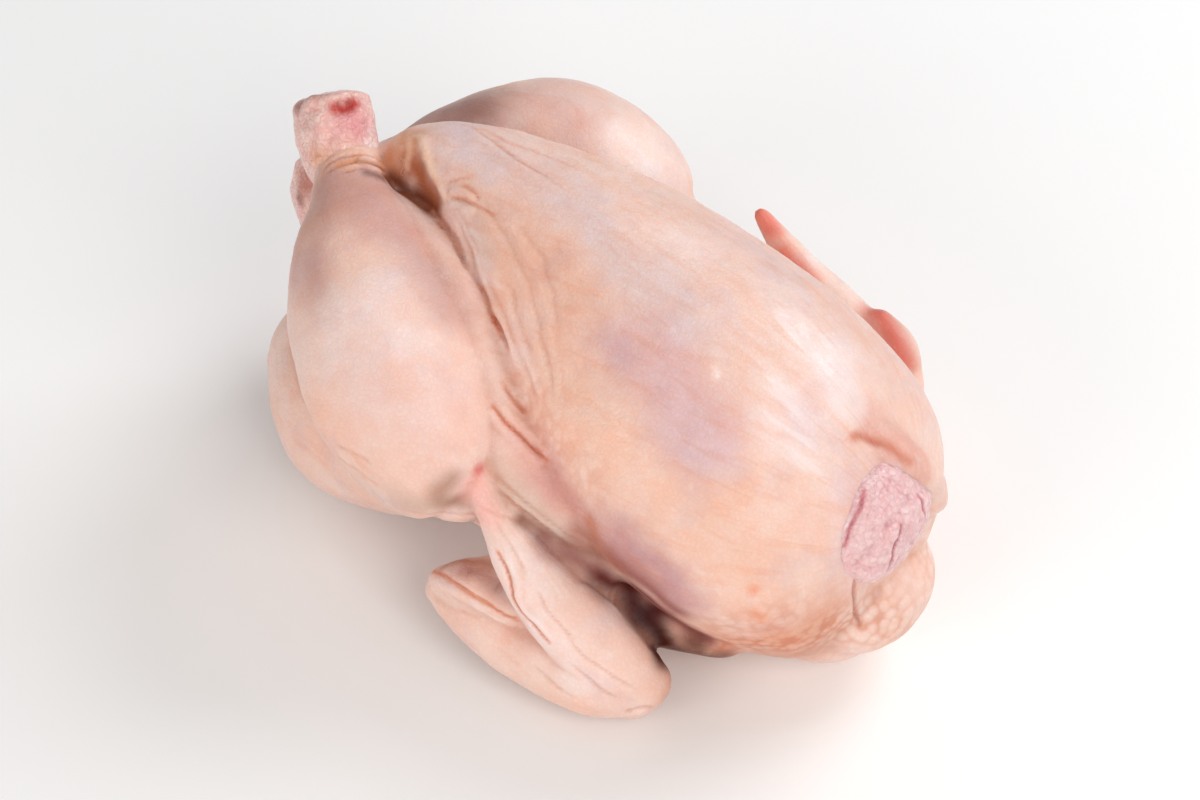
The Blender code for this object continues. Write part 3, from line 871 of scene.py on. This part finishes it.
fleshLook = {
    **skinLook,
    "fineRounds": 5,
    "fineShare": 0.9,
    "broadRounds": 30,
    "broadDepth": 0.6,
}
hockLook = {
    **fleshLook,
    "voxel": 0.6,
    "softening": 8,
    "unevenness": [(8.0, 1.3), (3.2, 0.35), (1.4, 0.08)],
    "base": (242, 206, 196),
    # painted shade in creases and a painted highlight on ridges of the joint end
    "creaseShade": (226, 180, 170),
    "ridgeLight": (260, 268, 268),
}
neckLook = {
    **fleshLook,
    "voxel": 0.7,
    "softening": 6,
    "unevenness": [(9.0, 0.8), (3.4, 0.55), (1.6, 0.22)],
    "base": (240, 206, 206),
    # painted shade in creases and a painted highlight on ridges of the neck flesh
    "creaseShade": (220, 178, 186),
    "ridgeLight": (262, 268, 268),
}
nearHockTints = [
    ((236, 172, 174), 0.85, 9, [(-92, -7, 114), (-89, -5, 111)]),
    ((248, 232, 230), 0.7, 6, [(-84, -8, 106), (-88, -3, 108)]),
    ((176, 140, 124), 0.85, 4, [(-110, -10, 112), (-108, -8, 117), (-104, -6, 120)]),
    ((196, 48, 36), 0.95, 3.8, [(-96, -8, 118), (-94.5, -5, 117.3), (-94, -3, 116.4)]),
    ((236, 176, 144), 0.8, 6, [(-95, -18, 106), (-90, -18, 106), (-86, -12, 106)]),
]
farHockTints = [
    ((196, 120, 96), 0.8, 9, [(-99, -14, 94), (-103, -18, 90)]),
    ((150, 70, 50), 0.8, 4, [(-104, -22, 86)]),
]
neckCuts = [
    [(93.4, -11, 81.3), (94.8, -14.6, 79.2), (95, -17.4, 77.3), (95.2, -19.8, 74.8), (95.6, -22, 70)],
    [(103, -8, 72), (104, -12, 66), (104, -14, 58)],
    [(103, 2, 74), (104, 1, 64), (103, -3, 54)],
]
neckTints = [((208, 120, 130), 0.85, 1.1, path) for path in neckCuts]
neckSlits = [(-0.5, 0.6, path) for path in neckCuts]
hockDents = [
    (-1.2, 1.6, [(-109, -11, 110), (-107, -7, 116), (-103, -4, 119)]),
    (-1.4, 2.4, [(-96, -8, 118), (-94.5, -5, 117.3), (-94, -3, 116.4)]),
    (1.0, 2.2, [(-94, -16, 106), (-97, -13, 112), (-101, -11, 116)]),
]


def makeFlesh(name, rows, look, tints, wide, end, dents=()):
    flesh = formsMesh(name, lambda bm: addLimb(bm, rows, wide, end=end))
    fuse(flesh, look["voxel"], look["softening"])
    points = readPoints(flesh)
    normals = readNormals(flesh)
    pressFolds(flesh, points, normals, dents)
    addUnevenness(points, normals, look["unevenness"])
    writePoints(flesh, points * mm)
    flesh.data.shade_smooth()
    colours = paintTints(flesh, points, look["base"], tints)
    storeTint(flesh, paintCreaseShadeAndRidgeLight(flesh, colours, look))
    writePlace(flesh, points)
    print(name, "finished,", len(flesh.data.polygons), "faces")
    return flesh


# Materials


def fillSockets(tree, sockets, values):  # a number or tuple is set, a socket is linked
    for name, value in values.items():
        if isinstance(value, (int, float, tuple)):
            sockets[name].default_value = value
        else:
            tree.links.new(value, sockets[name])


def addNode(tree, kind, values={}, **settings):
    made = tree.nodes.new(kind)
    for name, value in settings.items():
        setattr(made, name, value)
    fillSockets(tree, made.inputs, values)
    return made


def addMath(tree, operation, first, second):
    return addNode(tree, "ShaderNodeMath", {0: first, 1: second}, operation=operation).outputs[0]


def multiply(tree, first, second):
    return addMath(tree, "MULTIPLY", first, second)


def addRange(tree, value, low, high, first=0.0, last=1.0):
    values = {"Value": value, "From Min": low, "From Max": high, "To Min": first, "To Max": last}
    return addNode(tree, "ShaderNodeMapRange", values, interpolation_type="SMOOTHSTEP").outputs["Result"]


def addNoise(tree, vector, scale, detail=3.0, roughness=0.55, distortion=0.0):
    values = {"Vector": vector, "Scale": scale, "Detail": detail, "Roughness": roughness}
    return addNode(tree, "ShaderNodeTexNoise", {**values, "Distortion": distortion}).outputs["Fac"]


def blendColours(tree, share, first, second, kind="MIX"):
    made = addNode(tree, "ShaderNodeMix", data_type="RGBA", blend_type=kind, clamp_factor=True)
    first, second = ((*tone(*value), 1) if isinstance(value, tuple) else value for value in (first, second))
    sockets = {socket.identifier: socket for socket in made.inputs}
    fillSockets(tree, sockets, {"Factor_Float": share, "A_Color": first, "B_Color": second})
    return next(socket for socket in made.outputs if socket.identifier == "Result_Color")


rawTexture = {
    "warp": 0.003,  # how far the creases wander, in metres
    "creaseWidth": 0.22,
    "blotches": (0.35, 0.65),
    "grainScale": 2.6,  # times the cells' own
    "sheenScale": 3.0,  # times the blotches' own
    "sheen": (0.42, 0.60),
}


def rawSkinGroup(setup):  # moist, fine-grained surface that skin, joint ends and flesh share
    group = bpy.data.node_groups.new("rawSurface", "ShaderNodeTree")
    group.interface.new_socket("Vector", in_out="INPUT", socket_type="NodeSocketVector")
    for name in ("Cell Scale", "Blotch Scale"):
        group.interface.new_socket(name, in_out="INPUT", socket_type="NodeSocketFloat")
    for name in ("Creases", "Blotches", "Grain", "Sheen"):
        group.interface.new_socket(name, in_out="OUTPUT", socket_type="NodeSocketFloat")
    source = group.nodes.new("NodeGroupInput")
    sink = group.nodes.new("NodeGroupOutput")
    vector, cells, blotches = (source.outputs[k] for k in range(3))
    warp = addNode(group, "ShaderNodeTexNoise", {"Vector": vector, "Scale": blotches}).outputs["Color"]
    values = {0: warp, 1: (setup["warp"],) * 3, 2: vector}
    shifted = addNode(group, "ShaderNodeVectorMath", values, operation="MULTIPLY_ADD").outputs[0]
    values = {"Vector": shifted, "Scale": cells}
    net = addNode(group, "ShaderNodeTexVoronoi", values, feature="DISTANCE_TO_EDGE")
    grainScale = multiply(group, cells, setup["grainScale"])
    sheenScale = multiply(group, blotches, setup["sheenScale"])
    made = {
        "Creases": addRange(group, net.outputs["Distance"], 0.0, setup["creaseWidth"], 1.0, 0.0),
        "Blotches": addRange(group, addNoise(group, vector, blotches, 4.0), *setup["blotches"]),
        "Grain": addNoise(group, vector, grainScale, 3.0),
        "Sheen": addRange(group, addNoise(group, vector, sheenScale, 5.0, 0.65), *setup["sheen"]),
    }
    for name, value in made.items():
        group.links.new(value, sink.inputs[name])
    return group


rawSurface = rawSkinGroup(rawTexture)


def startMaterial(name, finish):
    material = bpy.data.materials.new(name)
    material.use_nodes = True
    tree = material.node_tree
    coordinates = addNode(tree, "ShaderNodeTexCoord").outputs["Object"]
    tint = addNode(tree, "ShaderNodeAttribute", attribute_name="tint").outputs["Color"]
    surface = addNode(tree, "ShaderNodeGroup", node_tree=rawSurface)
    values = {"Vector": coordinates, "Cell Scale": finish["cellScale"], "Blotch Scale": finish["blotchScale"]}
    fillSockets(tree, surface.inputs, values)
    return material, tree, tree.nodes["Principled BSDF"], coordinates, tint, surface.outputs


def multiplyColours(tree, colour, masks, changes):
    for name, mask in masks.items():
        strength, change = changes[name]
        colour = blendColours(tree, multiply(tree, mask, strength), colour, change, "MULTIPLY")
    return colour


def addHeights(tree, height, masks, depths):
    for name, mask in masks.items():
        height = addMath(tree, "ADD", height, multiply(tree, mask, depths[name]))
    return height


def addBump(tree, shader, height, depth):
    bump = addNode(tree, "ShaderNodeBump", {"Height": height, "Distance": depth})
    tree.links.new(bump.outputs["Normal"], shader.inputs["Normal"])


rawSockets = {"Specular IOR Level": 0.3, "Coat Roughness": 0.16}
skinFinish = {
    "cellScale": 620.0,  # skin creases, cells a metre
    "blotchScale": 80.0,
    "coolScale": 60.0,
    "fleckScale": 330.0,
    "lumpScale": 130.0,
    "gooseBumps": 300.0,  # a metre
    "streaks": (60.0, 260.0, 260.0),  # waves a metre along a limb and across it
    "reflectionStreaks": (34.0, 100.0, 100.0),
    "paintedReflection": (245, 230, 228),  # painted reflection, milky white, where fluid lies on the skin
    "reflectionStrength": 0.55,
    # strength and the colour that multiplies the tint
    "changes": {
        "blotches": (0.28, (255, 214, 186)),
        "cool": (0.60, (244, 246, 256)),
        "streaks": (0.45, (252, 232, 220)),
        "creases": (0.12, (236, 206, 194)),
        "gaps": (0.80, (228, 176, 144)),
        "tops": (0.50, (262, 272, 272)),
        "flecks": (0.60, (258, 268, 274)),
    },
    "heights": {"creases": -0.08, "grain": 0.25, "streaks": 0.6, "tops": 0.9},
    "lumpHeight": 1.2,
    "bumpDepth": 0.0005,
    "gloss": (0.08, 0.45),  # dry and wet
    "roughness": (0.42, 0.54),
    "glossSmooths": 0.16,
    "sockets": {
        **rawSockets,
        "Subsurface Weight": 0.2,
        "Subsurface Scale": 0.002,
        "Subsurface Radius": (1.0, 0.42, 0.26),
    },
}


def addStreaks(tree, place, waves):
    stretched = addNode(tree, "ShaderNodeVectorMath", {0: place, 1: waves}, operation="MULTIPLY")
    return addNoise(tree, stretched.outputs[0], 1.0, 3.0, 0.6, 0.6)


def addGooseBumps(tree, coordinates, scale, rough):  # the gaps between goose bumps, and their tops
    values = {"Vector": coordinates, "Scale": scale, "Smoothness": 0.25}
    cells = addNode(tree, "ShaderNodeTexVoronoi", values, feature="SMOOTH_F1").outputs["Distance"]
    gaps = addRange(tree, cells, 0.35, 0.75)
    tops = addRange(tree, cells, 0.15, 0.55, 1.0, 0.0)
    return (multiply(tree, mask, rough) for mask in (gaps, tops))


def makeSkinMaterial(finish):
    material, tree, shader, coordinates, tint, surface = startMaterial("rawSkin", finish)
    creases, blotches, grain, sheen = surface
    place = addNode(tree, "ShaderNodeAttribute", attribute_name="limb").outputs["Vector"]
    wet, rough, clear = (
        addNode(tree, "ShaderNodeAttribute", attribute_name=name).outputs["Fac"]
        for name in ("wet", "rough", "clear")
    )
    streaks, reflectionStreaks = (addStreaks(tree, place, finish[name]) for name in ("streaks", "reflectionStreaks"))
    smoothness = addMath(tree, "SUBTRACT", 1.0, rough)
    streaks = multiply(tree, multiply(tree, streaks, clear), smoothness)
    gaps, tops = addGooseBumps(tree, coordinates, finish["gooseBumps"], rough)
    masks = {
        "blotches": blotches,
        "cool": addRange(tree, addNoise(tree, coordinates, finish["coolScale"], 4.0, 0.6), 0.50, 0.66),
        "streaks": addRange(tree, streaks, 0.50, 0.66),
        "creases": creases,
        "gaps": gaps,
        "tops": tops,
        "flecks": addRange(tree, addNoise(tree, coordinates, finish["fleckScale"], 2.0, 0.5), 0.62, 0.76),
    }
    colour = multiplyColours(tree, tint, masks, finish["changes"])
    # a broken painted reflection, milky white, and wet gloss where fluid lies on the skin
    paintedReflection = multiply(tree, addRange(tree, reflectionStreaks, 0.42, 0.54), addRange(tree, wet, 0.2, 0.8))
    colour = blendColours(tree, multiply(tree, paintedReflection, finish["reflectionStrength"]), colour, finish["paintedReflection"])
    gloss = multiply(tree, sheen, addRange(tree, wet, 0.0, 1.0, *finish["gloss"]))
    dull = addRange(tree, grain, 0.3, 0.7, *finish["roughness"])
    roughness = addMath(tree, "SUBTRACT", dull, multiply(tree, gloss, finish["glossSmooths"]))
    made = {"Base Color": colour, "Coat Weight": gloss, "Roughness": roughness}
    fillSockets(tree, shader.inputs, made)
    lumps = addNoise(tree, coordinates, finish["lumpScale"], 3.0, 0.5)
    fineCreases = multiply(tree, creases, smoothness)
    masks = {"creases": fineCreases, "grain": grain, "streaks": streaks, "tops": tops}
    height = addHeights(tree, multiply(tree, lumps, finish["lumpHeight"]), masks, finish["heights"])
    addBump(tree, shader, height, finish["bumpDepth"])
    fillSockets(tree, shader.inputs, finish["sockets"])
    return material


fleshFinish = {
    "cellScale": 500.0,
    "blotchScale": 180.0,
    "paleScale": 260.0,
    "lumpScale": 300.0,
    "changes": {
        "blotches": (0.45, (248, 216, 220)),
        "creases": (0.28, (238, 190, 190)),
        "pale": (0.60, (262, 274, 274)),
    },
    "heights": {"grain": 0.8, "lumps": 2.2},
    "creaseHeight": -0.3,
    "bumpDepth": 0.0005,
    "gloss": 0.6,
    "roughness": (0.32, 0.48),
    "sockets": {
        **rawSockets,
        "Subsurface Weight": 0.3,
        "Subsurface Scale": 0.004,
        "Subsurface Radius": (1.0, 0.35, 0.25),
    },
}


def makeFleshMaterial(finish):
    material, tree, shader, coordinates, tint, surface = startMaterial("rawFlesh", finish)
    creases, blotches, grain, sheen = surface
    pale = addRange(tree, addNoise(tree, coordinates, finish["paleScale"], 3.0), 0.54, 0.70)
    masks = {"blotches": blotches, "creases": creases, "pale": pale}
    made = {
        "Base Color": multiplyColours(tree, tint, masks, finish["changes"]),
        "Coat Weight": multiply(tree, sheen, finish["gloss"]),
        "Roughness": addRange(tree, grain, 0.3, 0.7, *finish["roughness"]),
    }
    fillSockets(tree, shader.inputs, made)
    masks = {"grain": grain, "lumps": addNoise(tree, coordinates, finish["lumpScale"], 4.0)}
    height = addHeights(tree, multiply(tree, creases, finish["creaseHeight"]), masks, finish["heights"])
    addBump(tree, shader, height, finish["bumpDepth"])
    fillSockets(tree, shader.inputs, finish["sockets"])
    return material


# The bird

birdSkin = makeBirdSkin()
birdSkin.data.materials.append(makeSkinMaterial(skinFinish))
print("bird skin finished,", len(birdSkin.data.polygons), "faces")

fleshMaterial = makeFleshMaterial(fleshFinish)
fleshPieces = [
    makeFlesh("nearHock", nearLegShape["hock"], hockLook, nearHockTints, (0, 0, 1), 0.3, hockDents),
    makeFlesh("farHock", farLegShape["hock"], hockLook, farHockTints, (0, 0, 1), 0.3),
    makeFlesh("neckFlesh", trunkShape["neck"], neckLook, neckTints, (0, 1, 0), 0.4, neckSlits),
]
for piece in fleshPieces:
    piece.data.materials.append(fleshMaterial)
for piece in [birdSkin] + fleshPieces:
    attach(piece, "root")
    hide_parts("whole_chicken")
print("bird dressed")


# Floor and light

studio = {
    "floorSize": 6.0,
    "floorTone": (252, 252, 252),
    "sky": (255, 255, 255),
    "skyStrength": 0.42,
    # name: direction from the bird, distance, size, power, tone
    "lamps": {
        "backLight": ((0.25, 0.75, 0.75), 1.4, 0.9, 9.0, (252, 253, 255)),
        "keyLight": ((0.80, -0.35, 0.70), 1.5, 0.9, 8.0, (255, 251, 246)),
        "frontLight": ((-0.10, -0.95, 0.40), 1.6, 1.0, 7.0, (255, 253, 250)),
    },
}


def makeStudio(setup):
    bm = bmesh.new()
    bmesh.ops.create_grid(bm, x_segments=1, y_segments=1, size=setup["floorSize"])
    data = bpy.data.meshes.new("floor")
    bm.to_mesh(data)
    bm.free()
    floor = bpy.data.objects.new("floor", data)
    bpy.context.scene.collection.objects.link(floor)
    material = bpy.data.materials.new("paleFloor")
    material.use_nodes = True
    shader = material.node_tree.nodes["Principled BSDF"]
    shader.inputs["Base Color"].default_value = (*tone(*setup["floorTone"]), 1)
    shader.inputs["Roughness"].default_value = 0.8
    floor.data.materials.append(material)
    world = bpy.data.worlds.new("sky")
    world.use_nodes = True
    background = world.node_tree.nodes["Background"]
    background.inputs["Color"].default_value = (*tone(*setup["sky"]), 1)
    background.inputs["Strength"].default_value = setup["skyStrength"]
    bpy.context.scene.world = world
    aim = Vector(cameraSetup["target"])
    for name, (way, distance, size, power, colour) in setup["lamps"].items():
        data = bpy.data.lights.new(name, "AREA")
        data.shape = "DISK"
        data.size = size
        data.energy = power
        data.color = tone(*colour)
        lamp = bpy.data.objects.new(name, data)
        bpy.context.scene.collection.objects.link(lamp)
        lamp.location = aim + Vector(way).normalized() * distance
        lamp.rotation_euler = (aim - lamp.location).to_track_quat("-Z", "Y").to_euler()
    bpy.context.scene.view_settings.view_transform = "Standard"


makeStudio(studio)
print("studio lit")
